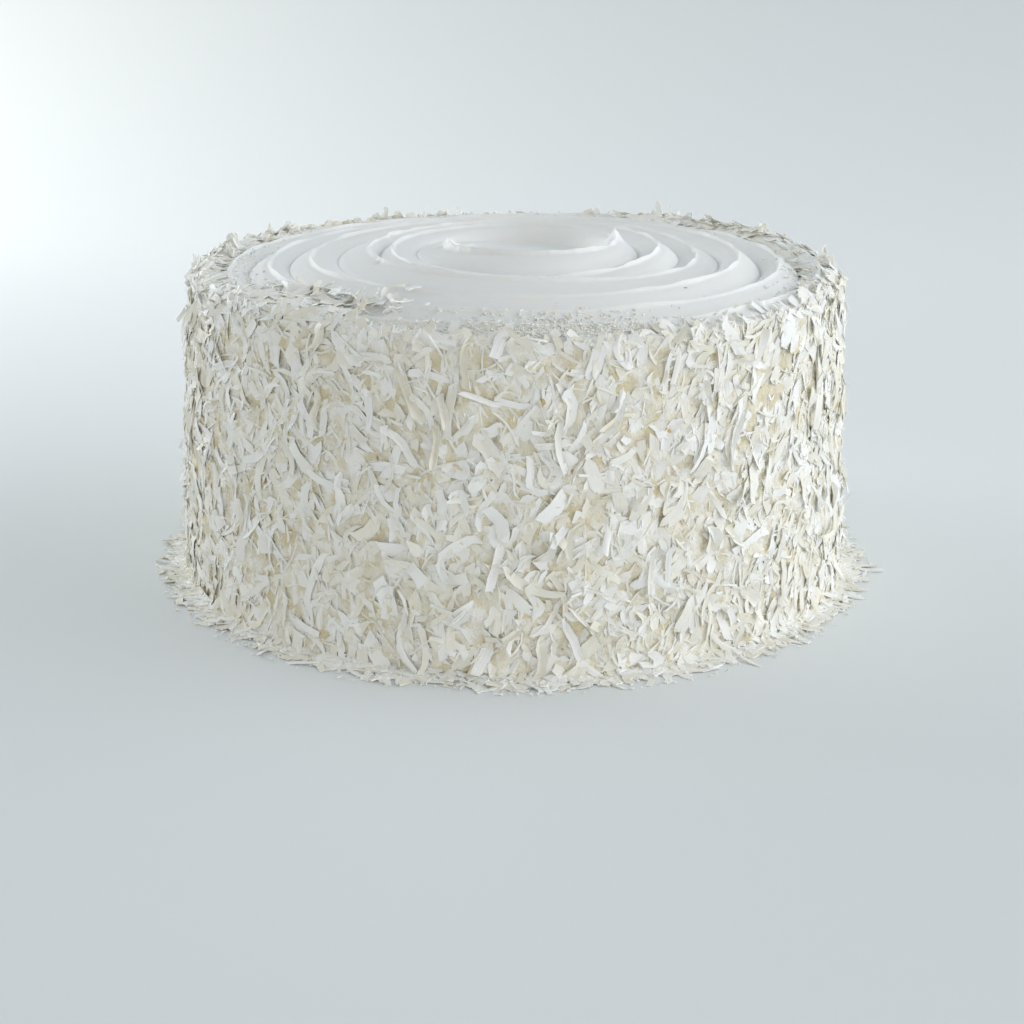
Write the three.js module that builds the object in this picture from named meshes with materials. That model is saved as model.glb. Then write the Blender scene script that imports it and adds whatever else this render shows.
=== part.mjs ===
// Coconut cream cake: a whole eight-inch layer cake, spread with whipped cream, swirled on top with
// a spatula, and pressed with shredded coconut all round its side.
// Millimetres, +Z up. The origin is at the middle of the flat base, and +X is the side where the
// swirl's innermost ridge is drawn up into a small peak.

import * as THREE from 'three';
import { ParametricGeometry } from 'three/addons/geometries/ParametricGeometry.js';
import { mergeVertices } from 'three/addons/utils/BufferGeometryUtils.js';

// ---- Driving dimensions -------------------------------------------------------------------------

// Outside of the coconut coat, which leans in a little towards the top.
const FOOT_RADIUS = 106.5;
const RIM_RADIUS = 100.8;
const RIM_HEIGHT = 94;
const LEAN_BEND = 1.15; // how much of the lean is kept for the upper half

// The coat: matted shreds, with lumps where more of them stuck.
const COAT_THICKNESS = 5.5;
const LUMP_DEPTH = 0.9;
const FRINGE_RADIUS = 110.5; // the shreds that fell round the foot
const FRINGE_HEIGHT = 1.2;
const GAP = 0.4; // between the cream and the coat

// The cream's top: a low dome that meets a rounded shoulder.
const SWIRL_EDGE = 88;
const EDGE_HEIGHT = 92;
const DOME_RISE = 7;
const SHOULDER_DROP = 6.5;

// The spatula's spiral: one ridge that winds outwards, anticlockwise seen from above.
const FIRST_RIDGE = 32; // the ridge's radius where it crosses +X for the first time
const PITCH = 12.5; // outwards, each turn
const RIDGE_HEIGHT = 2.1;
const RIDGE_SWAY = 0.6; // higher on the +X side by this, and lower on the -X side
const RIDGE_START = -0.9; // in turns from the first crossing of +X
const RIDGE_FULL = -0.45;
const VALLEY = 0.55; // where the furrow's bottom lies, as a share of the way to the next ridge
const RIDGE_FADE = 82; // the ridge dies out between this radius and RIDGE_END
const RIDGE_END = 86;
const FAINT = [{ turn: 0.75, share: 0.85 }, { turn: 1.95, share: 0.6 }]; // where it nearly vanishes
const FAINT_SPREAD = 0.16;
const DRIFTS = [{ turn: -0.35, by: -5.3 }, { turn: 1.6, by: -6 }]; // where it strays inwards
const DRIFT_SPREAD = 0.27;

// Marks in the middle, each a soft bump: height, spread, and where it is.
const BOWL = { height: -1.8, spread: 15, x: 2, y: 5 };
const TONGUE = { height: 1.9, spread: 4.5, x: 12, y: -8 };
const PEAK = { height: 2.2, spread: 2.6, x: 32.5, y: 2.5 };

// The heap of coconut along the rim.
const TOE_RADIUS = 89; // how far in it reaches
const TOE_SWAY = 2; // less far at the front, -Y, and further at the back
const HEAP_RISE = 2.6; // over the rim's height
const HEAP_SWAY = 1.6; // lower at the front, higher at the back
const TOE_HEIGHT = 0.8;

const CREAM_COLUMNS = 72;
const COAT_COLUMNS = 90;
const SHOULDER_STEPS = 3;
const WELD = 1e-4;
const FULL_TURN = 2 * Math.PI;

// ---- Shared shape functions ---------------------------------------------------------------------

const { lerp, clamp, smoothstep } = THREE.MathUtils;

// A bell curve that is 1 in the middle and nearly gone at twice its spread.
function bell(distance, spread) {
  return Math.exp(-((distance / spread) ** 2));
}

// Outside radius of the coat at a height, before its lumps.
function coatRadius(z) {
  const share = clamp(z / RIM_HEIGHT, 0, 1) ** LEAN_BEND;
  return lerp(FOOT_RADIUS, RIM_RADIUS, share);
}

function creamSideRadius(z) {
  return coatRadius(z) - COAT_THICKNESS;
}

// The smooth dome under the swirl.
function domeHeight(radius) {
  return EDGE_HEIGHT + DOME_RISE * (1 - (radius / SWIRL_EDGE) ** 2);
}

// Height of the ridge over the furrows, at a place along its winding, counted in turns.
function ridgeHeight(turn) {
  let height = RIDGE_HEIGHT + RIDGE_SWAY * Math.cos(FULL_TURN * turn);
  height *= smoothstep(turn, RIDGE_START, RIDGE_FULL);
  for (const faint of FAINT) {
    height *= 1 - faint.share * bell(turn - faint.turn, FAINT_SPREAD);
  }
  return height;
}

function ridgeDrift(turn) {
  return DRIFTS.reduce((sum, drift) => sum + drift.by * bell(turn - drift.turn, DRIFT_SPREAD), 0);
}

function markHeight(mark, x, y) {
  return mark.height * bell(Math.hypot(x - mark.x, y - mark.y), mark.spread);
}

// Welds the rows and columns that meet, and drops the faces that closed up into a line.
function closedSkin(geometry) {
  geometry.deleteAttribute('normal');
  geometry.deleteAttribute('uv');
  const skin = mergeVertices(geometry, WELD);
  const corners = skin.index.array;
  const kept = [];
  for (let i = 0; i < corners.length; i += 3) {
    const [a, b, c] = corners.slice(i, i + 3);
    if (a !== b && b !== c && c !== a) kept.push(a, b, c);
  }
  skin.setIndex(kept);
  skin.computeVertexNormals();
  return skin;
}

// ---- The cake under its cream -------------------------------------------------------------------

// A mesh row runs along the ridge or beside it: at the ridge's crest, part of the way down its
// outer face, in the furrow, and part of the way up to the next ridge.
const STATIONS = [0, VALLEY / 2, VALLEY, (1 + VALLEY) / 2];
const FIRST_TURN = -Math.ceil(FIRST_RIDGE / PITCH) - 1;
const LAST_TURN = Math.ceil((SWIRL_EDGE - FIRST_RIDGE) / PITCH);
const SWIRL_ROWS = STATIONS.length * (LAST_TURN - FIRST_TURN);
const OUTER_FALL = 1.5; // both faces of the ridge are rounded, and meet in a sharp furrow
const INNER_RISE = 1.8;

// Height over the dome at a share of the way from the ridge at this turn to the next one out.
function ridgeSection(turn, share) {
  if (share <= VALLEY) {
    return ridgeHeight(turn) * (1 - (share / VALLEY) ** OUTER_FALL);
  }
  return ridgeHeight(turn + 1) * (1 - ((1 - share) / (1 - VALLEY)) ** INNER_RISE);
}

// A point of the swirl, on a mesh row and at an angle given in turns. Each turn of the spiral joins
// the next one where the angle comes round, so the row four on is this row one turn later.
function swirlPoint(row, angle, direction) {
  const share = STATIONS[row % STATIONS.length];
  const turn = FIRST_TURN + Math.floor(row / STATIONS.length) + angle;
  const even = FIRST_RIDGE + PITCH * (turn + share);
  const drift = lerp(ridgeDrift(turn), ridgeDrift(turn + 1), share);
  const radius = clamp(even + drift, 0, SWIRL_EDGE);
  const x = radius * direction.x;
  const y = radius * direction.y;
  let z = domeHeight(radius);
  z += ridgeSection(turn, share) * (1 - smoothstep(radius, RIDGE_FADE, RIDGE_END));
  z += markHeight(BOWL, x, y) + markHeight(TONGUE, x, y) + markHeight(PEAK, x, y);
  return [x, y, z];
}

// The rounded shoulder from the swirl's edge to the side, grown by a gap for the coat's inside.
function shoulderPoint(step, gap) {
  const lean = (step / SHOULDER_STEPS) * (Math.PI / 2);
  const side = creamSideRadius(EDGE_HEIGHT - SHOULDER_DROP) + gap;
  const radius = lerp(SWIRL_EDGE, side, Math.sin(lean));
  return [radius, EDGE_HEIGHT + gap - SHOULDER_DROP * (1 - Math.cos(lean))];
}

function creamCake() {
  const rings = [];
  for (let step = 1; step <= SHOULDER_STEPS; step++) rings.push(shoulderPoint(step, 0));
  for (const share of [2 / 3, 1 / 3, 0]) {
    const z = share * (EDGE_HEIGHT - SHOULDER_DROP);
    rings.push([creamSideRadius(z), z]);
  }
  rings.push([0, 0]);

  const rows = SWIRL_ROWS + rings.length;
  const surface = (u, v, target) => {
    const column = CREAM_COLUMNS - Math.round(u * CREAM_COLUMNS); // clockwise, so it faces out
    const row = Math.round(v * rows);
    const round = (FULL_TURN * (column % CREAM_COLUMNS)) / CREAM_COLUMNS;
    const direction = { x: Math.cos(round), y: Math.sin(round) };
    if (row <= SWIRL_ROWS) {
      target.set(...swirlPoint(row, column / CREAM_COLUMNS, direction));
      return;
    }
    const [radius, z] = rings[row - SWIRL_ROWS - 1];
    target.set(radius * direction.x, radius * direction.y, z);
  };
  return closedSkin(new ParametricGeometry(surface, CREAM_COLUMNS, rows));
}

// ---- The coconut coat ---------------------------------------------------------------------------

// Lumps of shreds on the side, between -1 and 1: crossed waves, which leave rounded patches.
function lump(angle, z) {
  const round = FULL_TURN * angle;
  const up = z / 10;
  return (
    0.65 * Math.sin(17 * round + 1.2 * up) * Math.sin(9 * round - 3.4 * up + 1.3) +
    0.35 * Math.sin(23 * round - 2.6 * up + 4.1) * Math.sin(4.3 * up + 0.6)
  );
}

// The fringe's wander in and out round the foot, the same on opposite sides of the cake.
function fringeWander(angle) {
  const round = FULL_TURN * angle;
  return Math.sin(6 * round + 0.7) + 0.7 * Math.sin(14 * round + 2.1) + 0.5 * Math.sin(26 * round);
}

// The coat's section at an angle: up its inside, over the cream's edge, along the heap on the rim,
// down the outside and out along the fringe. A list of [radius, height].
function coatSection(angle) {
  const back = Math.sin(FULL_TURN * angle);
  const toe = TOE_RADIUS - TOE_SWAY * back + 0.4 * lump(angle, 0);
  const toeBase = domeHeight(Math.min(toe, SWIRL_EDGE)) + GAP;
  const heapTop = RIM_HEIGHT + HEAP_RISE + HEAP_SWAY * back + 0.6 * lump(angle, RIM_HEIGHT);
  const outside = (z) => coatRadius(z) + LUMP_DEPTH * lump(angle, z);
  const section = [];

  for (const share of [0, 0.5]) {
    const z = share * (EDGE_HEIGHT - SHOULDER_DROP);
    section.push([creamSideRadius(z) + GAP, z]);
  }
  for (let step = SHOULDER_STEPS; step > 0; step--) section.push(shoulderPoint(step, GAP));
  section.push([Math.min(toe, SWIRL_EDGE), toeBase]);
  section.push([toe, toeBase + TOE_HEIGHT]);

  const rim = outside(RIM_HEIGHT);
  for (const [share, fullness] of [[0.25, 0.8], [0.55, 1], [0.85, 0.65]]) {
    section.push([lerp(toe, rim, share), lerp(toeBase + TOE_HEIGHT, heapTop, fullness)]);
  }
  for (const z of [91, 85, 77, 68, 59, 50, 41, 32, 23, 14, 6]) section.push([outside(z), z]);

  const fringe = FRINGE_RADIUS + fringeWander(angle);
  section.push([lerp(outside(0), fringe, 0.35), 2 * FRINGE_HEIGHT]);
  section.push([fringe, FRINGE_HEIGHT / 2]);
  section.push([fringe, 0]);
  return section;
}

function coconutCoat() {
  const sections = [];
  for (let column = 0; column < COAT_COLUMNS; column++) {
    sections.push(coatSection(column / COAT_COLUMNS));
  }
  const rows = sections[0].length;
  const surface = (u, v, target) => {
    const column = (COAT_COLUMNS - Math.round(u * COAT_COLUMNS)) % COAT_COLUMNS;
    const [radius, z] = sections[column][Math.round(v * rows) % rows];
    const round = (FULL_TURN * column) / COAT_COLUMNS;
    target.set(radius * Math.cos(round), radius * Math.sin(round), z);
  };
  return closedSkin(new ParametricGeometry(surface, COAT_COLUMNS, rows));
}

// ---- The cake ------------------------------------------------------------------------------------

function piece(name, geometry, color, roughness) {
  const material = new THREE.MeshStandardMaterial({ color, roughness, metalness: 0 });
  const mesh = new THREE.Mesh(geometry, material);
  mesh.name = name;
  return mesh;
}

const cake = new THREE.Group();
cake.add(piece('cream_cake', creamCake(), 0xf4f4ef, 0.55));
cake.add(piece('coconut_coat', coconutCoat(), 0xf3f1e8, 0.65));

export default cake;
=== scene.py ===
# Coconut cream cake, whole: whipped cream swirled on top with a spatula, and a coat of shredded
# coconut pressed all round its side. Metres, +Z up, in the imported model's own frame: the origin is
# at the middle of the flat base. Sizes are written in millimetres and scaled when a mesh is made.

import math

import bmesh
import bpy
import numpy as np
from mathutils import Matrix, Vector, noise
from mathutils.bvhtree import BVHTree


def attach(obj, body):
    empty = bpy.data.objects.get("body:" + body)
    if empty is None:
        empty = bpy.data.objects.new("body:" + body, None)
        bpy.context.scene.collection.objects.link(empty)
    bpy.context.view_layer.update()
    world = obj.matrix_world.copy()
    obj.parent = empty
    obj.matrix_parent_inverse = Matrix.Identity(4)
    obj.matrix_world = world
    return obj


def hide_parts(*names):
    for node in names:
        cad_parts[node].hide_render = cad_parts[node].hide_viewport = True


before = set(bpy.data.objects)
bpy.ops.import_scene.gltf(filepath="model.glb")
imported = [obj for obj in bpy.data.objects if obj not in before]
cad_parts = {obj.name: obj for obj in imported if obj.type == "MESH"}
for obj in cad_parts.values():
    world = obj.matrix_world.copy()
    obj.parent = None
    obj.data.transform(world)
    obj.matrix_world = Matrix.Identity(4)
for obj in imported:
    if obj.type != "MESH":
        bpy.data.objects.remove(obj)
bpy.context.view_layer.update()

# ---- The cream ----------------------------------------------------------------------------------
# Whipped cream, spread over the whole cake and left bare on top. A spatula held over the turning
# cake drew one ridge that winds outwards from a shallow bowl. The ridge's rounded faces meet in
# sharp furrows, and its crest is a thin torn lip.

MM = 0.001
FULL_TURN = 2 * math.pi

SWIRL_EDGE = 88.0  # radius where the dome has come down to its edge height
CREAM_EDGE = 98.3  # the cream runs on flat to here, under what lies on the rim
EDGE_HEIGHT = 92.0
DOME_RISE = 7.0
SHOULDER_DROP = 6.5
FOOT_RADIUS = 106.5  # outside of the coconut coat at its foot and at its rim
RIM_RADIUS = 100.8
RIM_HEIGHT = 94.0
LEAN_BEND = 1.15
COAT_THICKNESS = 5.5

FIRST_RIDGE = 32.0  # the ridge's radius where it crosses +X for the first time
PITCH = 12.5  # outwards, each turn
RIDGE_HEIGHT = 3.0
RIDGE_SWAY = 0.7
RIDGE_START = -0.9  # in turns from the first crossing of +X
RIDGE_FULL = -0.45
VALLEY = 0.55  # where the furrow's bottom lies, as a share of the way to the next ridge
OUTER_FALL = 1.5
INNER_RISE = 1.8
RIDGE_FADE = 97.0
RIDGE_END = 98.2
FAINT = [(0.75, 0.85), (1.95, 0.6)]  # turn and share, where the ridge nearly vanishes
FAINT_SPREAD = 0.16
DRIFTS = [(-0.35, -5.3), (1.6, -6.0)]  # turn and distance, where the ridge strays inwards
DRIFT_SPREAD = 0.27

MARKS = [  # each a soft bump or pit: height, spread, and where it is
    (1.8, 4.2, 8.0, -7.0),  # a tongue of cream lying in the bowl
    (1.8, 3.4, 14.5, -8.0),
    (2.6, 2.1, 31.5, 5.5),  # the peak where the spatula lifted off
    (1.4, 1.7, 28.9, 56.0),  # a nub on a ridge at the back
    (-1.6, 2.2, -21.5, -2.5),  # the pit behind the hook where the ridge begins
    (1.0, 1.8, -17.5, 6.5),
    (-0.8, 0.9, -40.7, -23.4),  # a nick in the ragged crest
]
BOWL = [(0, 31), (90, 34), (130, 33), (160, 25), (180, 21), (225, 21.5), (270, 23.5), (315, 27)]
BOWL_DEPTH = 3.2  # the bowl's edge is given in degrees and in millimetres from the middle
BOWL_WALL = 9.0
UNDERCUT_TURN = -0.32  # where the first ridge stands highest and steepest, at the bowl's lip
UNDERCUT_SPREAD = 0.2
UNDERCUT_RISE = 1.3
UNDERCUT = 0.95
FURROW_DEPTH = 0.5
FURROW_WIDTH = 0.55

LIP_HEIGHT = 1.4  # the torn lip on the crest
LIP_WIDTH = 0.35
TEAR = 0.25  # how far the lip strays to each side
RAGGED_TURN = 1.5  # where it was torn most, on the -X side
RAGGED_SPREAD = 0.12
RAGGED_TEAR = 1.0
SCRAPE_SPACING = 2.2  # the blade's fine scratches along the ridge
SCRAPE_DEPTH = 0.1
SCRAPE_LENGTH = 45.0

CREAM_COLUMNS = 288
OUTER_ROWS = 13  # rows down the ridge's outer face, and up its inner face
INNER_ROWS = 11
FIRST_TURN = -4
LAST_TURN = 6


def bell(distance, spread):
    """1 in the middle, and nearly gone at twice the spread."""
    return np.exp(-((distance / spread) ** 2))


def smooth_step(value, low, high):
    """0 below low, 1 above high, and smooth between them."""
    share = np.clip((value - low) / (high - low), 0, 1)
    return share * share * (3 - 2 * share)


def lumps(x, y, z, size):
    """Smooth noise between about -1 and 1, with lumps of one size."""
    return np.array([noise.noise(Vector(p) / size) for p in zip(x, y, z)])


def round_axis(radius, angle):
    return radius * np.cos(angle), radius * np.sin(angle)


def coat_radius(z):
    """Outside radius of the coconut coat at a height, before its lumps."""
    share = np.clip(z / RIM_HEIGHT, 0, 1) ** LEAN_BEND
    return FOOT_RADIUS + (RIM_RADIUS - FOOT_RADIUS) * share


def dome_height(radius):
    dome = EDGE_HEIGHT + DOME_RISE * (1 - (radius / SWIRL_EDGE) ** 2)
    return np.logaddexp(3 * (dome - EDGE_HEIGHT), 0) / 3 + EDGE_HEIGHT


def ridge_height(turn):
    height = RIDGE_HEIGHT + RIDGE_SWAY * np.cos(FULL_TURN * turn)
    height = height * smooth_step(turn, RIDGE_START, RIDGE_FULL)
    height = height + UNDERCUT_RISE * bell(turn - UNDERCUT_TURN, UNDERCUT_SPREAD)
    for faint_turn, share in FAINT:
        height = height * (1 - share * bell(turn - faint_turn, FAINT_SPREAD))
    return height


def ridge_drift(turn):
    return sum(by * bell(turn - drift_turn, DRIFT_SPREAD) for drift_turn, by in DRIFTS)


def swirl_points(turn, share, angle):
    """Places on the swirl: between the ridge at a turn and the next one out, by share."""
    drift = (1 - share) * ridge_drift(turn) + share * ridge_drift(turn + 1)
    across = PITCH * (turn + share)
    nearer = share < VALLEY
    crest_turn = np.where(nearer, turn, turn + 1)
    crest_gap = np.where(nearer, share, 1 - share) * PITCH
    tear = TEAR + RAGGED_TEAR * bell(crest_turn - RAGGED_TURN, RAGGED_SPREAD)
    still = np.zeros_like(turn)
    torn = tear * lumps(crest_turn, still, still, 0.012) * bell(crest_gap, 4 * LIP_WIDTH)
    radius = np.clip(FIRST_RIDGE + across + drift + torn, 0, CREAM_EDGE)
    x, y = round_axis(radius, angle)

    fall = OUTER_FALL - UNDERCUT * bell(turn + share - UNDERCUT_TURN, UNDERCUT_SPREAD)
    outer = ridge_height(turn) * (1 - np.clip(share / VALLEY, 0, 1) ** fall)
    rise = np.clip((1 - share) / (1 - VALLEY), 0, 1) ** INNER_RISE
    inner = ridge_height(turn + 1) * (1 - rise)
    z = dome_height(radius)
    edge_fade = 1 - smooth_step(radius, RIDGE_FADE, RIDGE_END)
    z += np.where(nearer, outer, inner) * edge_fade
    sharpness = (ridge_height(turn) + ridge_height(turn + 1)) / (2 * RIDGE_HEIGHT)
    furrow = bell((share - VALLEY) * PITCH, FURROW_WIDTH) * sharpness * edge_fade
    z -= FURROW_DEPTH * furrow
    lip = 0.6 + 0.6 * lumps(crest_turn, still, still + 7, 0.03)
    lip_there = smooth_step(crest_turn, RIDGE_START, RIDGE_FULL) * edge_fade
    z += LIP_HEIGHT * np.clip(lip, 0, 1) * bell(crest_gap, LIP_WIDTH) * lip_there
    z += SCRAPE_DEPTH * lumps(
        across / SCRAPE_SPACING, x / SCRAPE_LENGTH, y / SCRAPE_LENGTH, 1
    )
    bowl_edge = np.interp(np.degrees(angle), *zip(*BOWL), period=360)
    z -= BOWL_DEPTH * (1 - smooth_step(radius - bowl_edge, -BOWL_WALL, -0.5))
    for height, spread, mark_x, mark_y in MARKS:
        z += height * bell(np.hypot(x - mark_x, y - mark_y), spread)
    return x, y, z, across


def stations():
    """Shares from one crest to the next, closest together at the crest and in the furrow."""
    down = [VALLEY * (1 - math.cos(math.pi * i / OUTER_ROWS)) / 2 for i in range(OUTER_ROWS)]
    up = [(1 - math.cos(math.pi * i / INNER_ROWS)) / 2 for i in range(INNER_ROWS)]
    return np.array(down + [VALLEY + (1 - VALLEY) * share for share in up])


def cream_rings():
    """Radius and height of the rings under the swirl: the shoulder, the side and the base."""
    side = lambda z: float(coat_radius(z)) - COAT_THICKNESS
    low = EDGE_HEIGHT - SHOULDER_DROP
    rings = []
    for step in range(1, 7):
        lean = step / 6 * math.pi / 2
        radius = CREAM_EDGE + (side(low) - CREAM_EDGE) * math.sin(lean)
        rings.append((radius, EDGE_HEIGHT - SHOULDER_DROP * (1 - math.cos(lean))))
    rings += [(side(low * share), low * share) for share in (0.66, 0.33, 0.0)]
    return rings + [(side(0) * 0.6, 0.0), (0.0, 0.0)]


def smooth_mesh(name, built):
    """The finished mesh of a shape: its faces look outwards and are shaded smooth."""
    bmesh.ops.recalc_face_normals(built, faces=built.faces)
    for face in built.faces:
        face.smooth = True
    mesh = bpy.data.meshes.new(name)
    built.to_mesh(mesh)
    built.free()
    return mesh


def cream_mesh():
    """A grid whose rows run along the spiral: where the angle comes round, each row meets the one
    a whole turn further out."""
    shares = stations()
    rings = cream_rings()
    per_turn = len(shares)
    swirl_rows = per_turn * (LAST_TURN - FIRST_TURN)
    rows = swirl_rows + len(rings)
    grid = bmesh.new()
    bmesh.ops.create_grid(grid, x_segments=CREAM_COLUMNS, y_segments=rows, size=0.5)
    flat = np.array([v.co for v in grid.verts])
    column = np.rint((flat[:, 0] + 0.5) * CREAM_COLUMNS).astype(int)
    row = np.rint((flat[:, 1] + 0.5) * rows).astype(int)
    angle = FULL_TURN * (column % CREAM_COLUMNS) / CREAM_COLUMNS
    on_swirl = row <= swirl_rows
    turn = FIRST_TURN + row // per_turn + column / CREAM_COLUMNS
    x, y, z, across = swirl_points(turn, shares[row % per_turn], angle)
    for i, (radius, height) in enumerate(rings):
        ring = row == swirl_rows + 1 + i
        x[ring], y[ring] = round_axis(radius, angle[ring])
        z[ring] = height
    across[~on_swirl] = PITCH * LAST_TURN

    swirl = grid.verts.layers.float.new("across")
    for i, vert in enumerate(grid.verts):
        vert.co = (x[i] * MM, y[i] * MM, z[i] * MM)
        vert[swirl] = across[i]
    bmesh.ops.remove_doubles(grid, verts=grid.verts, dist=0.02 * MM)
    bmesh.ops.dissolve_degenerate(grid, edges=grid.edges, dist=0.01 * MM)
    return smooth_mesh("whipped_cream", grid)


def add_piece(name, mesh):
    piece = bpy.data.objects.new(name, mesh)
    bpy.context.scene.collection.objects.link(piece)
    return piece


def linear(hex_colour):
    """An sRGB hex colour as the linear red, green, blue and alpha that a socket takes."""
    parts = [int(hex_colour[i : i + 2], 16) / 255 for i in (1, 3, 5)]
    return [p / 12.92 if p <= 0.04045 else ((p + 0.055) / 1.055) ** 2.4 for p in parts] + [1.0]


def add_node(tree, kind, inputs=None, **settings):
    """One node, with its settings, and with each input linked or given a value."""
    node = tree.nodes.new(kind)
    for name, value in settings.items():
        setattr(node, name, value)
    for name, value in (inputs or {}).items():
        if isinstance(value, bpy.types.NodeSocket):
            tree.links.new(value, node.inputs[name])
        else:
            node.inputs[name].default_value = value
    return node


def new_material(name):
    """A material, its node tree, and the shader that the nodes feed."""
    material = bpy.data.materials.new(name)
    material.use_nodes = True
    return material, material.node_tree, material.node_tree.nodes["Principled BSDF"]


def noise_texture(tree, place, scale, detail):
    inputs = {"Vector": place, "Scale": scale, "Detail": detail}
    return add_node(tree, "ShaderNodeTexNoise", inputs).outputs["Fac"]


def share_between(tree, value, low, high):
    """How far a value is on its way from low to high, from 0 to 1."""
    inputs = {"Value": value, "From Min": low, "From Max": high}
    return add_node(tree, "ShaderNodeMapRange", inputs).outputs["Result"]


def blend(tree, factor, first, second):
    """A colour between two others. Their sockets go by number, because the names are shared."""
    inputs = {"Factor": factor, 6: first, 7: second}
    return add_node(tree, "ShaderNodeMix", inputs, data_type="RGBA").outputs[2]


def bump_from(tree, height, strength, depth):
    inputs = {"Height": height, "Strength": strength, "Distance": depth * MM}
    return add_node(tree, "ShaderNodeBump", inputs).outputs["Normal"]


def feed(tree, shader, colour, bump):
    tree.links.new(colour, shader.inputs["Base Color"])
    tree.links.new(bump, shader.inputs["Normal"])


# Whipped cream: dairy fat beaten full of fine bubbles, which scatters light just under a satin
# surface. The blade leaves scratches along the swirl, and the bubbles leave a faint grain.
CREAM_COLOUR = "#F7F9F9"
CREAM_SHADE = "#F5F5F1"


def whipped_cream():
    material, tree, shader = new_material("whipped cream")
    place = add_node(tree, "ShaderNodeTexCoord").outputs["Object"]
    across = add_node(tree, "ShaderNodeAttribute", attribute_name="across").outputs["Fac"]
    apart = add_node(tree, "ShaderNodeSeparateXYZ", {"Vector": place})
    along = add_node(
        tree, "ShaderNodeCombineXYZ",
        {"X": across, "Y": apart.outputs["X"], "Z": apart.outputs["Y"]},
    ).outputs["Vector"]
    drawn = add_node(
        tree, "ShaderNodeVectorMath", {0: along, 1: (1.1, 30.0, 30.0)}, operation="MULTIPLY"
    ).outputs["Vector"]
    scratch = noise_texture(tree, drawn, 1.0, 2.0)
    grain = noise_texture(tree, place, 900.0, 3.0)
    patch = noise_texture(tree, place, 40.0, 2.0)
    relief = add_node(
        tree, "ShaderNodeMath", {0: grain, 1: 0.9, 2: scratch}, operation="MULTIPLY_ADD"
    ).outputs["Value"]
    colour = blend(tree, patch, linear(CREAM_SHADE), linear(CREAM_COLOUR))
    feed(tree, shader, colour, bump_from(tree, relief, 0.6, 0.16))
    shader.inputs["Roughness"].default_value = 0.52
    shader.inputs["IOR"].default_value = 1.45
    shader.inputs["Subsurface Weight"].default_value = 0.2
    shader.inputs["Subsurface Radius"].default_value = (1.0, 0.8, 0.55)
    shader.inputs["Subsurface Scale"].default_value = 2.0 * MM
    return material


cream = add_piece("whipped_cream", cream_mesh())
cream.data.materials.append(whipped_cream())
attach(cream, "root")
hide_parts("cream_cake")

# ---- The matted coconut under the loose shreds --------------------------------------------------
# Shredded coconut pressed into the fresh cream by hand until no cream showed. What lies deepest
# is matted into one layer with crumbs of cream, painted straw in random patches: painted shade for
# where little light comes.

BED_DEPTH = 0.6  # how far the matted layer lies under the coat's outside
BED_COLUMNS = 700
BED_STEP = 1.0
MATTED_WAYS = (-52, -18, 15, 48)  # the ways its shreds lie, in degrees from upright
MATTED_WIDTH = 2.4
MATTED_LENGTH = 6.5
MATTED_RELIEF = 1.1
MATTED_STRAY = 14  # degrees by which patches of them stray from those ways
MATTED_PATCH = 16.0
BED_REACH = 10.0  # in its plain section, before the heap's own reach is given to it
BED_TOP = (11.0, 9.0, 7.0, 5.0, 3.0, 1.5)  # how far in from the rim the section's points are
BED_INSIDE = [(104.5, 0.0), (100.0, 0.0), (94.5, 84.0), (94.5, 89.0)]  # radius and height
LUMP_DEPTH = 0.5
CLUMP_SIZE = 9.0
CLUMP_DEPTH = 1.1
HEAP = [  # round the rim, in degrees: how far in the heap reaches, how high it stands
    (0, 13, 3.0), (20, 14, 3.8), (31, 15, 5.4), (44, 14, 4.2), (57, 13, 5.2), (66, 9, 3.8),
    (75, 3, 1.6), (95, 2.5, 1.3), (118, 3, 1.5), (138, 4, 1.8), (150, 8, 2.6), (163, 12, 3.2),
    (180, 13, 2.4), (200, 14, 2.2), (212, 22, 3.4), (224, 27, 4.0), (238, 23, 3.6), (246, 9, 1.8),
    (256, 3, 1.5), (285, 2.5, 1.2),
    (300, 4, 1.4), (320, 9, 2.0), (335, 12, 2.8), (350, 13, 3.4),
]
HEAP_SHARES = (0.0, 0.15, 0.5, 0.85, 1.0)  # across the heap, from its toe to the rim
HEAP_FULLNESS = (0.0, 0.4, 1.0, 0.9, 0.55)
HEAP_LUMP_SIZE = 6.0
HEAP_LUMP_DEPTH = 0.9


def coat_lump(angle, z):
    """Lumps where more shreds stuck, between -1 and 1: crossed waves, which leave patches."""
    up = z / 10
    wide = np.sin(17 * angle + 1.2 * up) * np.sin(9 * angle - 3.4 * up + 1.3)
    narrow = np.sin(23 * angle - 2.6 * up + 4.1) * np.sin(4.3 * up + 0.6)
    return 0.65 * wide + 0.35 * narrow


def coat_bulge(angle, z):
    """How far the shreds stand out from the coat's smooth outside, in clumps and hollows."""
    x, y = round_axis(FOOT_RADIUS, angle)
    clumps = lumps(x, y, z, CLUMP_SIZE) + 0.5 * lumps(x, y, z + 50, CLUMP_SIZE / 2.2)
    return LUMP_DEPTH * coat_lump(angle, z) + CLUMP_DEPTH * clumps


def matted_relief(angle, z):
    """Shreds matted over one another: the highest of several grains, each lying its own way."""
    along_rim = angle * FOOT_RADIUS
    stray = MATTED_STRAY * lumps(along_rim / MATTED_PATCH, z / MATTED_PATCH, 0 * z, 1)
    relief = np.full(len(z), -1.0)
    for number, way in enumerate(MATTED_WAYS):
        lean = np.radians(way + stray)
        across = along_rim * np.cos(lean) - z * np.sin(lean)
        up = along_rim * np.sin(lean) + z * np.cos(lean)
        grain = lumps(across / MATTED_WIDTH, up / MATTED_LENGTH, 0 * z + 7.3 * number, 1)
        relief = np.maximum(relief, grain)
    return relief - 0.35


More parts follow.
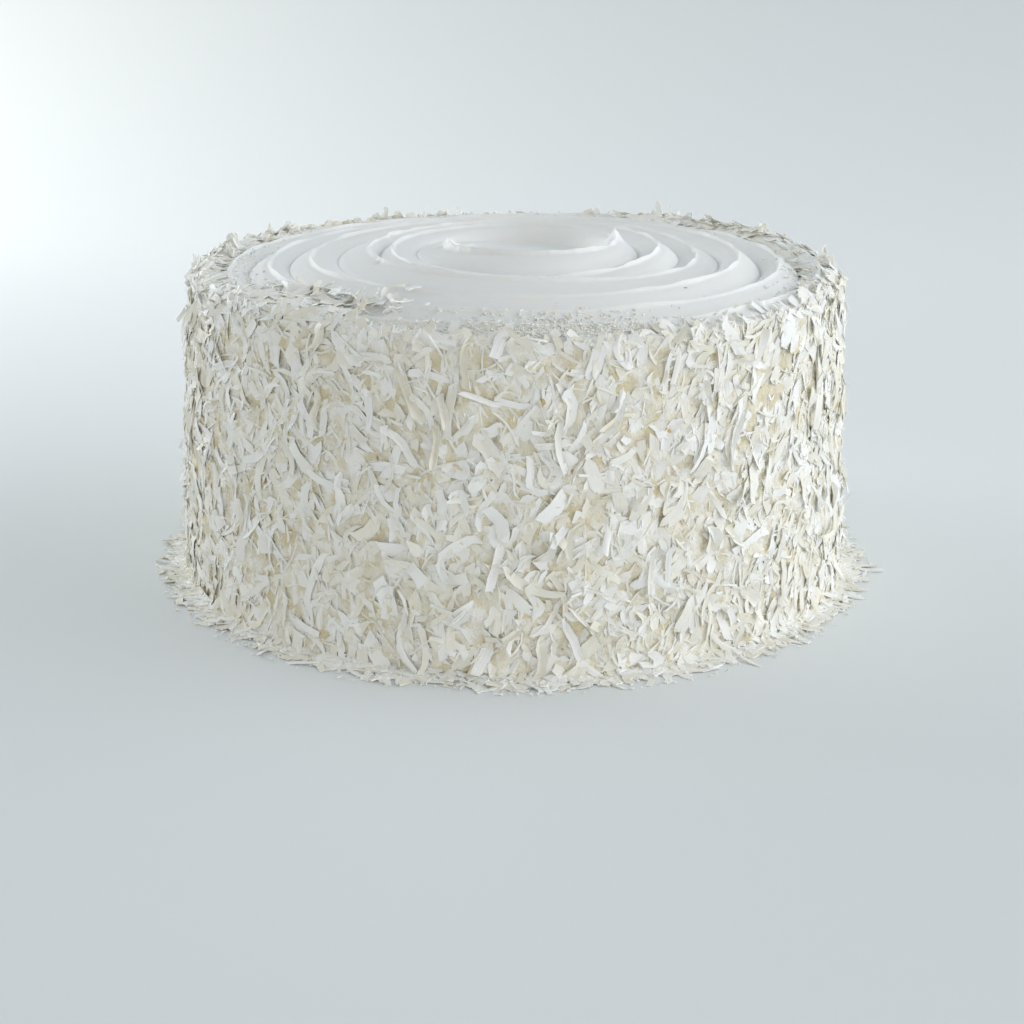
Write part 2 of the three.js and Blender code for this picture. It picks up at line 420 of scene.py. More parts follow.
def heap_reach(angle):
    places, reaches, _ = zip(*HEAP)
    return np.interp(np.degrees(angle), places, reaches, period=360)


def heap_height(angle, radius):
    """Top of the coconut heaped along the rim: thick at the back right, thin at the front."""
    places, _, rises = zip(*HEAP)
    top = np.interp(np.degrees(angle), places, rises, period=360)
    reach = heap_reach(angle)
    share = (radius - RIM_RADIUS + reach) / reach
    uneven = HEAP_LUMP_DEPTH * lumps(*round_axis(radius, angle), 0 * angle, HEAP_LUMP_SIZE)
    return dome_height(radius) + (top + uneven) * np.interp(share, HEAP_SHARES, HEAP_FULLNESS)


def depth_in_coat(x, y, z):
    """How far a place lies under the coat's outside or under the top of the heap."""
    angle = np.arctan2(y, x)
    radius = np.hypot(x, y)
    under_side = coat_radius(z) - radius
    return np.minimum(under_side, heap_height(angle, radius) - z)


def bed_profile():
    """The matted layer's section, as radius and height: from under the cream over the rim, down
    the outside to the foot, and back up inside the coat."""
    points = [(RIM_RADIUS - reach, RIM_HEIGHT) for reach in BED_TOP]
    z = RIM_HEIGHT - 1.5
    while z > 0.5:
        points.append((float(coat_radius(z)) - BED_DEPTH, z))
        z -= BED_STEP
    return points + BED_INSIDE


def bed_mesh():
    bed = bmesh.new()
    ring = [bed.verts.new((radius * MM, 0, z * MM)) for radius, z in bed_profile()]
    edges = [bed.edges.new((a, b)) for a, b in zip(ring, ring[1:] + ring[:1])]
    bmesh.ops.spin(
        bed, geom=ring + edges, axis=(0, 0, 1), cent=(0, 0, 0), dvec=(0, 0, 0),
        angle=FULL_TURN, steps=BED_COLUMNS, use_merge=True,
    )
    bmesh.ops.remove_doubles(bed, verts=bed.verts, dist=0.02 * MM)
    x, y, z = np.array([v.co for v in bed.verts]).T / MM
    angle = np.arctan2(y, x)
    radius = np.hypot(x, y)
    matted = lumps(x / 1.6, y / 1.6, z / 4.0, 1) + 0.5 * lumps(x, y, z / 1.6, 1.1)
    on_heap = z > RIM_HEIGHT - 1
    outside = (z > 0.2) & (radius > coat_radius(z) - BED_DEPTH - 0.5) & ~on_heap
    relief = coat_bulge(angle, z) + MATTED_RELIEF * matted_relief(angle, z)
    radius = radius + np.where(outside, relief, 0)
    inward = (RIM_RADIUS - radius) / BED_REACH
    radius = np.where(on_heap, RIM_RADIUS - inward * heap_reach(angle), radius)
    heap_top = heap_height(angle, radius) + 0.3 + 0.5 * matted - 2.0 * (inward > 1)
    z = np.where(on_heap, heap_top, z)
    x, y = round_axis(radius, angle)
    for i, vert in enumerate(bed.verts):
        vert.co = (x[i] * MM, y[i] * MM, z[i] * MM)
    return smooth_mesh("matted_coconut", bed)


# Matted coconut: wet fibres and crumbs with no gloss, ivory, with random straw patches of painted
# shade over the side, and no painted shade where it lies heaped on top.
BED_LIGHT = "#FCFBF5"
# the straw of painted shade, standing for the warm shade in the hollows of the coat
BED_PAINTED_SHADE = "#E4DABA"


def matted_coconut():
    material, tree, shader = new_material("matted coconut")
    place = add_node(tree, "ShaderNodeTexCoord").outputs["Object"]
    patch = share_between(tree, noise_texture(tree, place, 170.0, 3.0), 0.35, 0.65)
    crumb = noise_texture(tree, place, 700.0, 3.0)
    height = add_node(tree, "ShaderNodeSeparateXYZ", {"Vector": place}).outputs["Z"]
    heaped_up = share_between(tree, height, (RIM_HEIGHT - 6) * MM, RIM_HEIGHT * MM)
    # painted shade: straw in random patches over the side, fading out over the heap along the rim
    tint = add_node(
        tree, "ShaderNodeMath", {0: patch, 1: heaped_up}, operation="MAXIMUM"
    ).outputs["Value"]
    colour = blend(tree, tint, linear(BED_PAINTED_SHADE), linear(BED_LIGHT))
    feed(tree, shader, colour, bump_from(tree, crumb, 1.0, 0.8))
    shader.inputs["Roughness"].default_value = 0.8
    shader.inputs["IOR"].default_value = 1.4
    return material


bed = add_piece("matted_coconut", bed_mesh())
bed.data.materials.append(matted_coconut())
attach(bed, "root")
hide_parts("coconut_coat")

# ---- The shreds on the side ---------------------------------------------------------------------
# Sweetened coconut, grated into flat ribbons along the grain: broad shreds, narrow ones, short
# chips and fine threads. They lie almost flat, most of them near upright, where a palm pressed
# them.

rng = np.random.default_rng(12)
END_PULL = 0.93  # the last stretch of a shred is short, so that its ends are blunt
CRINKLE = 0.11  # millimetres up and down, and as a share of the width
CURLED_SHARE = 0.12  # of the shreds, which curl more than the rest
CURLED_MORE = 2.5
LOOSE_SHARE = 0.1  # of the shreds, which stand off more than the rest
LOOSE_MORE = 3.0
DEEP_FROM = 0.8  # a shred turns from white to the straw of painted shade between these depths in the coat
DEEP_TO = 4.0
SHADE_PATCH_SIZE = 7.0  # the random patches where the straw of painted shade reaches nearer the outside
LEANING_SIZE = 18.0  # neighbours lean the same way, by up to this many degrees
LEANING = 32


def shred_blank(columns, rows, ends, skew, waist):
    """One straight shred, a unit long, wide and thick: a strip given a thickness, drawn in and
    cut askew at its ends."""
    strip = bmesh.new()
    bmesh.ops.create_grid(strip, x_segments=columns, y_segments=rows, size=0.5)
    for vert in strip.verts:
        x, y, z = vert.co
        if abs(y) > 0.49:
            vert.co.x = x * ends[int(y > 0)]
            vert.co.y = y + skew[int(y > 0)] * x
        else:
            vert.co.x = x * (1 + waist * math.sin(9 * y + 3 * x))
            vert.co.y = 0.5 * math.sin(math.pi * END_PULL * y) / math.sin(math.pi * END_PULL / 2)
    bmesh.ops.solidify(strip, geom=strip.faces[:], thickness=1.0)
    bmesh.ops.recalc_face_normals(strip, faces=strip.faces)
    strip.verts.ensure_lookup_table()
    verts = np.array([v.co for v in strip.verts])
    verts[:, 2] = np.where(verts[:, 2] > verts[:, 2].mean(), 0.5, -0.5)
    faces = np.array([[v.index for v in f.verts] for f in strip.faces])
    strip.free()
    return verts, faces


def spread(low, high, count):
    return rng.uniform(low, high, count)


def unit(vectors):
    return vectors / np.linalg.norm(vectors, axis=1, keepdims=True)


def turned(first, second, angle):
    """Two axes at right angles, both turned by an angle in their plane."""
    c = np.cos(angle)[:, None]
    s = np.sin(angle)[:, None]
    return first * c + second * s, second * c - first * s


def strew(name, blanks, where, along, out, size, bends):
    """Joins many shreds into one mesh. Each has a place, the way it runs and the way its face
    looks, and a size (width, length, thickness). bends: how far they curl and sway for their
    length, how far they twist, in radians, and how far they cup for their width."""
    across = np.cross(along, out)
    count = len(where)
    blank_of = rng.integers(0, len(blanks), count)
    curl, sway, twist, cup = (rng.normal(0, bend, count) for bend in bends)
    curl = curl * np.where(rng.random(count) < CURLED_SHARE, CURLED_MORE, 1.0)
    ripple = rng.uniform(0, FULL_TURN, count)
    tone = rng.random(count)
    shift = rng.uniform(0, 50, (count, 2))
    all_verts, all_faces, all_tones, all_grain = [], [], [], []
    start = 0
    for number, (verts, faces) in enumerate(blanks):
        few = np.flatnonzero(blank_of == number)
        long = size[few, 1:2]
        x = verts[None, :, 0] * size[few, 0:1]
        y = verts[None, :, 1] * long
        z = verts[None, :, 2] * size[few, 2:3]
        share = verts[None, :, 1]
        arch = curl[few, None] * long * (share**2 - 1 / 12)
        arch = arch + 0.15 * np.sin(11 * share + ripple[few, None])
        arch = arch + cup[few, None] * size[few, 0:1] * 4 * verts[None, :, 0] ** 2
        bow = sway[few, None] * long * (share**2 - 1 / 12)
        bow = bow + 1.5 * np.roll(sway, 1)[few, None] * long * share**3
        crinkle = rng.normal(0, CRINKLE, (2, len(few), len(verts) // 2))
        crinkle = np.concatenate([crinkle, crinkle], axis=2)
        arch = arch + crinkle[0]
        x = x * (1 + crinkle[1])
        turn = twist[few, None] * share
        side = x * np.cos(turn) - (z + arch) * np.sin(turn) + bow
        lift = x * np.sin(turn) + (z + arch) * np.cos(turn)
        points = (
            where[few, None, :]
            + side[:, :, None] * across[few, None, :]
            + y[:, :, None] * along[few, None, :]
            + lift[:, :, None] * out[few, None, :]
        )
        offsets = start + np.arange(len(few)) * len(verts)
        all_verts.append(points.reshape(-1, 3))
        all_faces.append((faces[None] + offsets[:, None, None]).reshape(-1, 4))
        all_tones.append(np.repeat(tone[few], len(verts)))
        grain = np.stack([x + shift[few, 0:1], y + shift[few, 1:2]], axis=2)
        all_grain.append(grain.reshape(-1, 2))
        start += len(few) * len(verts)
    points = np.concatenate(all_verts)
    points[:, 2] = np.maximum(points[:, 2], 0.05)
    faces = np.concatenate(all_faces)
    mesh = bpy.data.meshes.new(name)
    mesh.from_pydata((points * MM).tolist(), [], faces.tolist())
    # random patches where the painted shade reaches nearer the coat's outside, fading out near the
    # rim
    shade_patches = 1.5 * lumps(*points.T, SHADE_PATCH_SIZE) + 0.8 * lumps(*(points.T + 70), SHADE_PATCH_SIZE / 2.5)
    shade_patches = shade_patches * smooth_step(RIM_HEIGHT - points[:, 2], 2, 10)
    # painted shade: the deeper a shred lies in the coat, the more it is painted straw
    painted_shade = (depth_in_coat(*points.T) + shade_patches - DEEP_FROM) / (DEEP_TO - DEEP_FROM)
    for attribute, values in (("tone", np.concatenate(all_tones)), ("painted_shade", np.clip(painted_shade, 0, 1))):
        mesh.attributes.new(attribute, "FLOAT", "POINT").data.foreach_set("value", values)
    uv = np.concatenate(all_grain)[faces.ravel()]
    mesh.uv_layers.new(name="grain").data.foreach_set("uv", uv.ravel())
    mesh.shade_smooth()
    mesh.set_sharp_from_angle(angle=math.radians(50))
    return mesh


# Coconut flesh: dense and waxy, white with an ivory cast, with fine fibres along each shred. What
# lies deeper in the coat is painted straw-yellow: painted shade for the warm shade among the shreds.
SHRED_IVORY = "#F4F0E0"
SHRED_WHITE = "#FDFEFC"
# the straw of painted shade, for shreds deep in the coat
SHRED_PAINTED_SHADE = "#E6DAB5"
FIBRE_SPACING = 0.5  # in millimetres: real fibres are about half this, too fine to show


def coconut_flesh():
    material, tree, shader = new_material("coconut flesh")
    tone = add_node(tree, "ShaderNodeAttribute", attribute_name="tone").outputs["Fac"]
    painted_shade = add_node(tree, "ShaderNodeAttribute", attribute_name="painted_shade").outputs["Fac"]
    grain = add_node(tree, "ShaderNodeUVMap", uv_map="grain").outputs["UV"]
    drawn = add_node(
        tree, "ShaderNodeVectorMath", {0: grain, 1: (1 / FIBRE_SPACING, 0.08, 1.0)},
        operation="MULTIPLY",
    ).outputs["Vector"]
    fibre = noise_texture(tree, drawn, 1.0, 2.0)
    blotch = noise_texture(tree, grain, 0.35, 1.0)
    mixed = add_node(
        tree, "ShaderNodeMath", {0: blotch, 1: 0.6, 2: tone}, operation="MULTIPLY_ADD"
    ).outputs["Value"]
    tint = share_between(tree, mixed, 0.2, 1.0)
    face = blend(tree, tint, linear(SHRED_IVORY), linear(SHRED_WHITE))
    # painted shade: straw on the shreds that lie deep in the coat
    colour = blend(tree, painted_shade, face, linear(SHRED_PAINTED_SHADE))
    feed(tree, shader, colour, bump_from(tree, fibre, 1.0, 0.16))
    shader.inputs["Roughness"].default_value = 0.5
    shader.inputs["IOR"].default_value = 1.44
    return material


flesh = coconut_flesh()
BROAD_BLANKS = [
    shred_blank(1, 4, (0.8, 0.5), (0.06, -0.1), 0.12),
    shred_blank(1, 4, (0.5, 0.85), (-0.1, 0.05), 0.18),
    shred_blank(1, 4, (0.9, 0.35), (0.03, 0.1), 0.1),
]
FLAKE_BLANKS = [
    shred_blank(2, 4, (0.8, 0.5), (0.06, -0.1), 0.14),
    shred_blank(2, 4, (0.5, 0.85), (-0.1, 0.05), 0.2),
]
NARROW_BLANKS = [
    shred_blank(1, 6, (0.8, 0.4), (0.05, -0.06), 0.16),
    shred_blank(1, 6, (0.5, 0.85), (-0.06, 0.03), 0.12),
]
THREAD_BLANKS = [shred_blank(1, 5, (0.8, 0.5), (0.05, -0.06), 0.1)]
LONG_BLANKS = [
    shred_blank(2, 6, (0.8, 0.5), (0.04, -0.06), 0.12),
    shred_blank(2, 6, (0.6, 0.85), (-0.06, 0.03), 0.16),
]
SHORT_BLANKS = [
    shred_blank(1, 2, (0.9, 0.6), (0.1, -0.12), 0.1),
    shred_blank(1, 2, (0.5, 0.9), (-0.15, 0.05), 0.16),
]
BENDS = (0.1, 0.08, 0.4, 0.12)


def lay(name, blanks, where, along, out, size, bends=BENDS):
    """Makes one kind of shred a piece of the coat."""
    piece = add_piece(name, strew(name, blanks, where, along, out, size, bends))
    piece.data.materials.append(flesh)
    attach(piece, "root")
    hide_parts("coconut_coat")


def sizes_between(count, *limits):
    return np.stack([spread(low, high, count) for low, high in limits], axis=1)


def any_way(out):
    """A way for each shred to run, at random, square to the way its face looks."""
    return unit(np.cross(out, rng.normal(0, 1, (len(out), 3))))


def ruffled(along, out, ruffle):
    """Lifts one end of each shred and rolls it a little, and a few of them far."""
    count = len(along)
    loose = np.where(rng.random(count) < LOOSE_SHARE, LOOSE_MORE, 1.0)
    along, out = turned(along, out, np.radians(rng.normal(0, ruffle, count)) * loose)
    roll = np.radians(rng.normal(0, 1.3 * ruffle, count)) * loose
    across, out = turned(np.cross(along, out), out, roll)
    return along, out


def pressed_on(name, blanks, count, layer, lean, ruffle, bends, *limits):
    """A kind of shred scattered over the whole side."""
    angle = spread(0, FULL_TURN, count)
    size = sizes_between(count, *limits)
    clump = lumps(*round_axis(FOOT_RADIUS, angle), 0 * angle, LEANING_SIZE)
    lean_by = np.radians(LEANING * clump + rng.normal(0, lean, count))
    reach_up = 0.45 * size[:, 1] * np.abs(np.cos(lean_by))
    z = spread(0.0, RIM_HEIGHT + 0.5, count)
    z = np.clip(z, 0.4 + reach_up, RIM_HEIGHT + spread(-1.0, 0.8, count) - reach_up)
    bulge = coat_bulge(angle, z)
    radius = coat_radius(z) + bulge + spread(*layer, count)
    step = 1.5
    rise = (coat_bulge(angle, z + step) - bulge) / step
    swing = (coat_bulge(angle + step / FOOT_RADIUS, z) - bulge) / step
    where = np.stack([*round_axis(radius, angle), z], axis=1)
    outward = np.stack([np.cos(angle), np.sin(angle), 0.05 - rise], axis=1)
    round_it = np.stack([-np.sin(angle), np.cos(angle), np.zeros(count)], axis=1)
    out = unit(outward - swing[:, None] * round_it)
    round_it = unit(round_it - np.sum(round_it * out, axis=1)[:, None] * out)
    along, across = turned(np.cross(out, round_it), round_it, lean_by)
    along, out = ruffled(along, out, ruffle)
    lay(name, blanks, where, along, out, size, bends)


PRESSED = (0.09, 0.42, 0.45, 0.14)
PROUD = (0.14, 0.4, 0.8, 0.2)
CURLED = (0.12, 0.5, 0.9, 0.2)
THIN = (0.12, 0.22)
pressed_on(
    "broad_shreds", BROAD_BLANKS, 2000, (-1.1, -0.75), 42, 2, PRESSED, (1.8, 4.4), (5, 12), THIN
)
pressed_on(
    "flat_shreds", FLAKE_BLANKS, 1000, (-0.95, -0.6), 34, 3, PRESSED, (2.0, 4.6), (6, 14), THIN
)
pressed_on(
    "narrow_shreds", NARROW_BLANKS, 1800, (-1.0, -0.6), 44, 3, PRESSED, (0.9, 2.2), (6, 13), THIN
)
pressed_on(
    "short_shreds", SHORT_BLANKS, 1500, (-1.1, -0.7), 45, 4, PRESSED, (1.0, 2.8), (3, 7), THIN
)
pressed_on(
    "fine_threads", THREAD_BLANKS, 2600, (-0.8, -0.3), 55, 5, PROUD, (0.4, 0.8), (5, 12), THIN
)
pressed_on(
    "proud_shreds", LONG_BLANKS, 1000, (-0.6, -0.2), 38, 3, CURLED, (1.0, 2.8), (9, 20), THIN
)

# ---- The coconut heaped along the rim -----------------------------------------------------------
# What the hand pushed up past the edge: shreds and chips heaped loosely on the cream, thick at
# the back right and the left and nearly bare at the front.

HEAP_TRIES = 6  # places tried for each shred


def heaped(name, blanks, count, tilt, *limits):
    """A kind of shred scattered over the heap, more of them where it reaches further in."""
    angle = spread(0, FULL_TURN, count * HEAP_TRIES)
    widest = max(reach for _, reach, _ in HEAP)
    kept = rng.random(len(angle)) * (widest + 1) < heap_reach(angle) + 0.5
    angle = angle[kept][:count]
    count = len(angle)
    inward = rng.random(count) ** 1.15
    inward = inward * (1 + 0.35 * (rng.random(count) < 0.1))
    radius = RIM_RADIUS - 0.3 - inward * (heap_reach(angle) - 0.3)
    z = heap_height(angle, radius) + spread(-0.2, 0.45, count)
    where = np.stack([*round_axis(radius, angle), z], axis=1)
    facing = rng.normal(0, tilt, (count, 3)) + (0, 0, 1)
    outer = np.clip(1.4 - (RIM_RADIUS - radius) / 5.04, 0, 1)  # near the edge they face outwards
    facing[:, 0] += outer * np.cos(angle)
    facing[:, 1] += outer * np.sin(angle)
    out = unit(facing)
    lay(name, blanks, where, any_way(out), out, sizes_between(count, *limits))


heaped("rim_shreds", BROAD_BLANKS, 300, 0.14, (1.6, 3.8), (5, 12), THIN)
heaped("rim_chips", SHORT_BLANKS, 800, 0.2, (0.8, 2.2), (2.5, 7), THIN)

# ---- The coconut strewn on the cream ------------------------------------------------------------
# Flakes and chips that landed inside the rim: a loose clump at the front left, tufts standing on
# end along the rim, single strays, and fine dust from the grater, thickest along the front edge.

TUFT_FLAKES = 5
TUFTS = [(3, 98), (29, 95), (57, 96), (104, 99), (117, 99), (141, 97), (155, 92), (163, 96),
         (172, 93), (186, 96), (334, 95)]  # degrees and radius
STRAYS = [  # where, which way, how long and how wide
    (-81.0, -20.0, 60, 11.0, 5.0), (-76.0, 50.0, 20, 5.0, 1.6), (-70.0, -38.0, 150, 7.0, 2.0),
    (-38.0, 90.0, 170, 5.0, 1.6), (-25.0, -72.0, 75, 6.0, 1.2), (60.0, -66.0, 15, 11.0, 3.2),
    (68.0, -58.0, -25, 9.0, 3.4), (79.0, -47.0, 40, 10.0, 3.0), (-34.0, -52.0, 10, 5.0, 2.6),
    (-29.0, -59.0, 35, 4.5, 2.2), (-21.0, -76.0, 110, 5.0, 0.9), (52.0, 70.0, 5, 5.0, 1.8),
]
CLUMP_FLAKES = 45
CLUMP_FROM = (-66.0, -49.0)
CLUMP_TO = (-31.0, -74.0)

cream_tree = BVHTree.FromPolygons(
    [v.co for v in cream.data.vertices], [p.vertices for p in cream.data.polygons]
)


def on_cream(x, y):
    """The cream's height under each place, in millimetres."""
    hits = (cream_tree.ray_cast((px * MM, py * MM, 1), (0, 0, -1))[0] for px, py in zip(x, y))
    return np.array([hit.z / MM for hit in hits])


def lying(name, blanks, x, y, raised, tilt, *limits):
    """Shreds lying on the cream or on the heap, each about flat, at a height above it."""
    count = len(x)
    ground = np.maximum(on_cream(x, y), heap_height(np.arctan2(y, x), np.hypot(x, y)))
    where = np.stack([x, y, ground + raised], axis=1)
    out = unit(rng.normal(0, tilt, (count, 3)) + (0, 0, 1))
    lay(name, blanks, where, any_way(out), out, sizes_between(count, *limits))


share = spread(0, 1, CLUMP_FLAKES)
clump_x = CLUMP_FROM[0] + (CLUMP_TO[0] - CLUMP_FROM[0]) * share
clump_x = clump_x + rng.normal(0, 3.0, CLUMP_FLAKES)
clump_y = CLUMP_FROM[1] + (CLUMP_TO[1] - CLUMP_FROM[1]) * share
clump_y = clump_y + rng.normal(0, 3.5, CLUMP_FLAKES)
clump_raised = spread(0.0, 1.2, CLUMP_FLAKES)
lying("clump", FLAKE_BLANKS, clump_x, clump_y, clump_raised, 0.4, (1.6, 3.6), (6, 13), THIN)

stray_x, stray_y, stray_way, stray_long, stray_wide = np.array(STRAYS).T
stray_way = np.radians(stray_way)
stray_place = np.stack([stray_x, stray_y, on_cream(stray_x, stray_y) + 0.4], axis=1)
stray_along = np.stack([np.cos(stray_way), np.sin(stray_way), 0.1 + 0 * stray_way], axis=1)
stray_out = unit(np.cross(np.cross(stray_along, (0, 0, 1)), stray_along))
stray_size = np.stack([stray_wide, stray_long, 0 * stray_wide + 0.25], axis=1)
lay("strays", FLAKE_BLANKS, stray_place, unit(stray_along), stray_out, stray_size)

tuft_angle, tuft_radius = np.repeat(np.array(TUFTS, float), TUFT_FLAKES, axis=0).T
tuft_angle = np.radians(tuft_angle + rng.normal(0, 1.5, len(tuft_angle)))
tuft_radius = tuft_radius + rng.normal(0, 1.4, len(tuft_angle))
tuft_size = sizes_between(len(tuft_angle), (0.9, 2.4), (4, 8), THIN)
tuft_up = heap_height(tuft_angle, tuft_radius) + 0.3 * tuft_size[:, 1] - 1.0
tuft_along = unit(rng.normal(0, 0.35, (len(tuft_angle), 3)) + (0, 0, 1))
tuft_out = any_way(tuft_along)
tuft_place = np.stack([*round_axis(tuft_radius, tuft_angle), tuft_up], axis=1)
lay("tufts", FLAKE_BLANKS, tuft_place, tuft_along, tuft_out, tuft_size)

CRUMB_BLANKS = [shred_blank(1, 1, (1.0, 0.7), (0.2, -0.2), 0.0)]
CRUMB = ((0.4, 0.9), (0.5, 1.3), (0.15, 0.3))
FRONT_DUST = 2200
FRONT_DUST_AT = (-85, 96)  # in degrees and in millimetres from the middle
RIM_DUST = 500
dust_angle = np.radians(rng.normal(FRONT_DUST_AT[0], 12, FRONT_DUST))
dust_radius = FRONT_DUST_AT[1] - np.abs(rng.normal(0, 8.0, FRONT_DUST))
dust_x, dust_y = round_axis(dust_radius, dust_angle)
lying("front_dust", CRUMB_BLANKS, dust_x, dust_y, spread(0, 0.2, FRONT_DUST), 0.15, *CRUMB)

dust_angle = spread(0, FULL_TURN, RIM_DUST)
dust_in = np.abs(rng.normal(0, 1, RIM_DUST)) * (1 + 0.15 * heap_reach(dust_angle))
dust_radius = 99 - 0.9 * heap_reach(dust_angle) - dust_in
dust_x, dust_y = round_axis(dust_radius, dust_angle)
lying("rim_dust", CRUMB_BLANKS, dust_x, dust_y, spread(0, 0.2, RIM_DUST), 0.2, *CRUMB)

# ---- The brown specks ---------------------------------------------------------------------------
# Bits of the nut's brown skin that came through the grater with the white flesh: a few over the
# whole side, a sprinkling of tiny ones near the foot at the front, and one crumb on the cream.

SKIN_COLOUR = "#CDB080"
SPECKS = 110
TINY = 18  # the first ones lie in the patch; the next one is the crumb on the cream
SPECK_PATCH = (-87.0, 10.0)  # in degrees and in millimetres above the base
CRUMB_X = 48.5
CRUMB_Y = -50.3


def coconut_skin():
    material, _, shader = new_material("brown coconut skin")
    shader.inputs["Base Color"].default_value = linear(SKIN_COLOUR)
    shader.inputs["Roughness"].default_value = 0.6
    shader.inputs["IOR"].default_value = 1.45
    return material


speck_angle = spread(0, FULL_TURN, SPECKS)
speck_z = spread(4, 88, SPECKS)
speck_size = sizes_between(SPECKS, (0.5, 1.2), (0.8, 2.2), (0.2, 0.4))
speck_angle[:TINY] = np.radians(SPECK_PATCH[0] + rng.normal(0, 4.5, TINY))
speck_z[:TINY] = SPECK_PATCH[1] + rng.normal(0, 2.2, TINY)
speck_size[:TINY] *= 0.55
speck_radius = coat_radius(speck_z) + coat_bulge(speck_angle, speck_z) - 0.55
speck_place = np.stack([*round_axis(speck_radius, speck_angle), speck_z], axis=1)
speck_place[TINY] = (CRUMB_X, CRUMB_Y, on_cream([CRUMB_X], [CRUMB_Y])[0] + 0.2)
speck_out = np.stack([np.cos(speck_angle), np.sin(speck_angle), 0 * speck_z], axis=1)
speck_out[TINY] = (0, 0, 1)
specks = add_piece(
    "brown_specks",
    strew(
        "brown_specks", CRUMB_BLANKS, speck_place, any_way(speck_out), speck_out, speck_size, BENDS
    ),
)
specks.data.materials.append(coconut_skin())
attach(specks, "root")
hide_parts("coconut_coat")

# ---- The coconut that fell round the foot -------------------------------------------------------
# Shreds that didn't stick, and the dust from grating them, lying flat round the foot and banked a
# little against the coat.


LIMP = (0.03, 0.1, 0.1, 0.05)


def fallen(name, blanks, count, reach, *limits):
    """A kind of shred scattered round the foot, the nearest ones lying up against the coat."""
    angle = spread(0, FULL_TURN, count)
    away = np.minimum(np.abs(rng.normal(0, reach, count)), 11)
    radius = FOOT_RADIUS - 1.5 + away
    z = 0.4 + spread(0, 2.2, count) * np.clip(1 - away / 4, 0, 1)
    where = np.stack([*round_axis(radius, angle), z], axis=1)
    bank = 0.8 * np.clip(1 - away / 3, 0, 1)
    facing = rng.normal(0, 0.12, (count, 3)) + (0, 0, 1)
    facing[:, 0] += bank * np.cos(angle)
    facing[:, 1] += bank * np.sin(angle)
    out = unit(facing)
    along = any_way(out)
    lay(name, blanks, where, along, out, sizes_between(count, *limits), LIMP)


fallen("fallen_shreds", SHORT_BLANKS, 2600, 3.2, (1.0, 2.8), (2.5, 9), (0.3, 0.5))
fallen("coconut_dust", CRUMB_BLANKS, 3500, 4.5, (0.3, 0.8), (0.4, 1.2), (0.2, 0.4))

# ---- The floor ----------------------------------------------------------------------------------
# A plain pale sweep: a floor that curves up into a wall behind the cake.

FLOOR_COLOUR = "#E9EDEE"
SWEEP_SIDE = 4.0  # metres, from the middle to each side, and up the wall
SWEEP_START = 0.55
SWEEP_RADIUS = 0.6
SWEEP_STEPS = 24


def sweep_mesh():
    sweep = bmesh.new()
    start = [(-SWEEP_SIDE, -SWEEP_SIDE, 0), (-SWEEP_SIDE, SWEEP_START, 0)]
    rail = [sweep.verts.new(place) for place in start]
    for step in range(1, SWEEP_STEPS + 1):
        lean = step / SWEEP_STEPS * math.pi / 2
        y = SWEEP_START + SWEEP_RADIUS * math.sin(lean)
        rail.append(sweep.verts.new((-SWEEP_SIDE, y, SWEEP_RADIUS * (1 - math.cos(lean)))))
    rail.append(sweep.verts.new((-SWEEP_SIDE, SWEEP_START + SWEEP_RADIUS, SWEEP_SIDE)))
    edges = [sweep.edges.new(pair) for pair in zip(rail, rail[1:])]
    strip = bmesh.ops.extrude_edge_only(sweep, edges=edges)["geom"]
    moved = [item for item in strip if isinstance(item, bmesh.types.BMVert)]
    bmesh.ops.translate(sweep, verts=moved, vec=(2 * SWEEP_SIDE, 0, 0))
    return smooth_mesh("floor", sweep)


def pale_paper():
    material, _, shader = new_material("pale backdrop paper")
    shader.inputs["Base Color"].default_value = linear(FLOOR_COLOUR)
    shader.inputs["Roughness"].default_value = 0.9
    shader.inputs["Specular IOR Level"].default_value = 0.2
    return material


floor = add_piece("floor", sweep_mesh())
floor.data.materials.append(pale_paper())

# ---- The light ----------------------------------------------------------------------------------
# One broad soft light from the right, a smaller one from the back left, weak ones from the front,
# the right and above, a glow on the backdrop's left side, and cool light from all round.


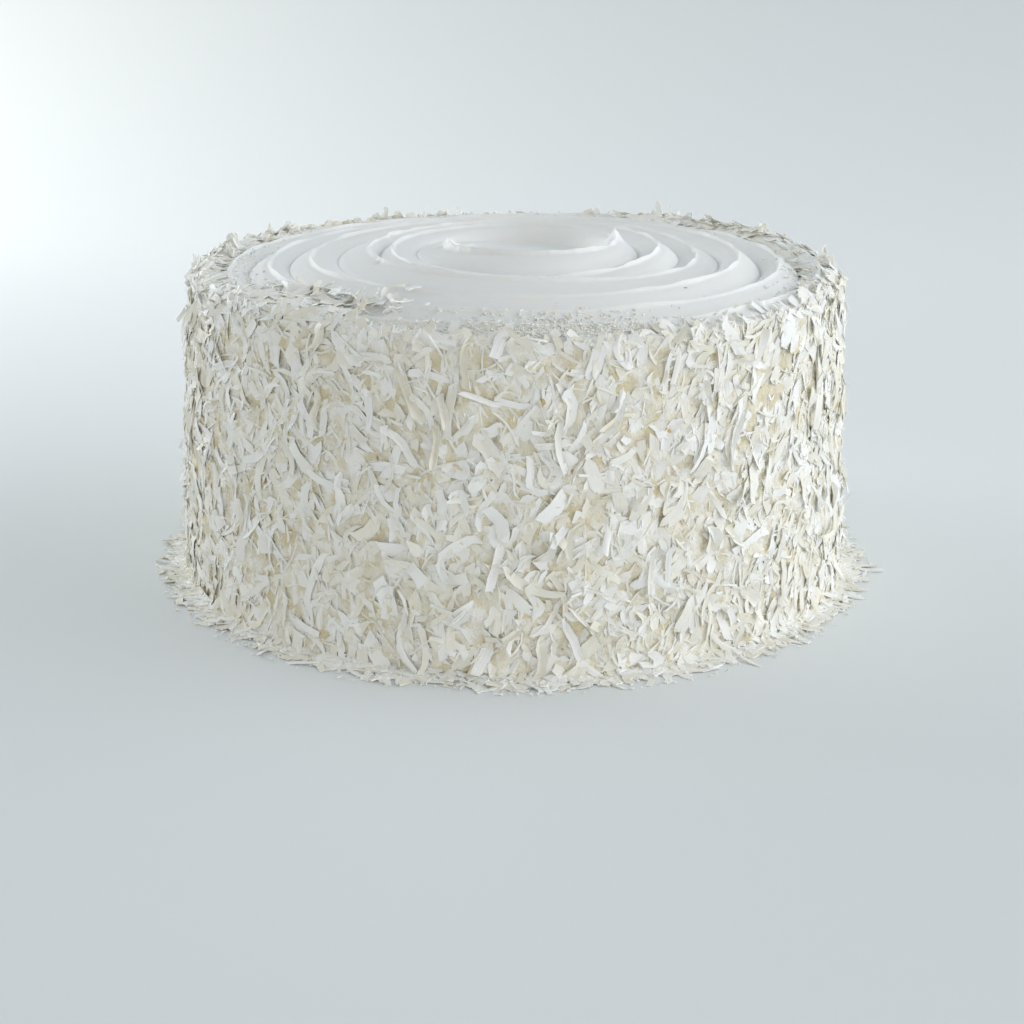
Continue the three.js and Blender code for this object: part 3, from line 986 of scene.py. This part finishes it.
def soft_light(name, place, target, width, height, power, colour):
    lamp = bpy.data.lights.new(name, "AREA")
    lamp.shape = "RECTANGLE"
    lamp.size = width
    lamp.size_y = height
    lamp.energy = power
    lamp.color = linear(colour)[:3]
    lamp.spread = math.radians(110)
    holder = bpy.data.objects.new(name, lamp)
    bpy.context.scene.collection.objects.link(holder)
    aim = (Vector(target) - Vector(place)).to_track_quat("-Z", "Y")
    holder.matrix_world = Matrix.Translation(place) @ aim.to_matrix().to_4x4()


soft_light("window", (1.1, 0.1, 0.4), (0, 0, 0.05), 2.4, 1.2, 7.6, "#FAFBFF")
soft_light("back_window", (-0.9, 0.8, 0.35), (0, 0, 0.08), 1.2, 0.5, 3.0, "#F3F7FF")
soft_light("front_fill", (-0.5, -1.2, 0.35), (0, 0, 0.05), 1.6, 0.5, 1.0, "#FFEDD4")
soft_light("side_fill", (0.9, -0.7, 0.35), (0.05, 0, 0.05), 1.4, 0.8, 0.75, "#FFFBF4")
soft_light("overhead", (0.3, 0.1, 1.2), (0, 0, 0.1), 1.4, 1.4, 0.5, "#F4F9FF")
soft_light("backdrop_glow", (-1.1, 0.4, 0.7), (-0.7, 0.7, 0.0), 0.5, 0.8, 3.2, "#FFFBF2")

world = bpy.data.worlds.new("studio")
world.use_nodes = True
all_round = world.node_tree.nodes["Background"]
all_round.inputs["Color"].default_value = linear("#E9F2F7")
all_round.inputs["Strength"].default_value = 0.42
bpy.context.scene.world = world
bpy.context.scene.view_settings.view_transform = "Standard"

# ---- The camera ---------------------------------------------------------------------------------
# A longish lens a little above the cake, looking down along +Y.

CAMERA_PLACE = (-0.0006, -0.544, 0.198)
CAMERA_DOWN = 18.83  # degrees
CAMERA_ROLL = 0.37
LENS = 61.5

camera_data = bpy.data.cameras.new("camera")
camera_data.lens = LENS
camera_data.sensor_width = 36.0
camera = bpy.data.objects.new("camera", camera_data)
bpy.context.scene.collection.objects.link(camera)
tilt = Matrix.Rotation(math.radians(90 - CAMERA_DOWN), 4, "X")
roll = Matrix.Rotation(math.radians(CAMERA_ROLL), 4, "Z")
camera.matrix_world = Matrix.Translation(CAMERA_PLACE) @ tilt @ roll
bpy.context.scene.camera = camera
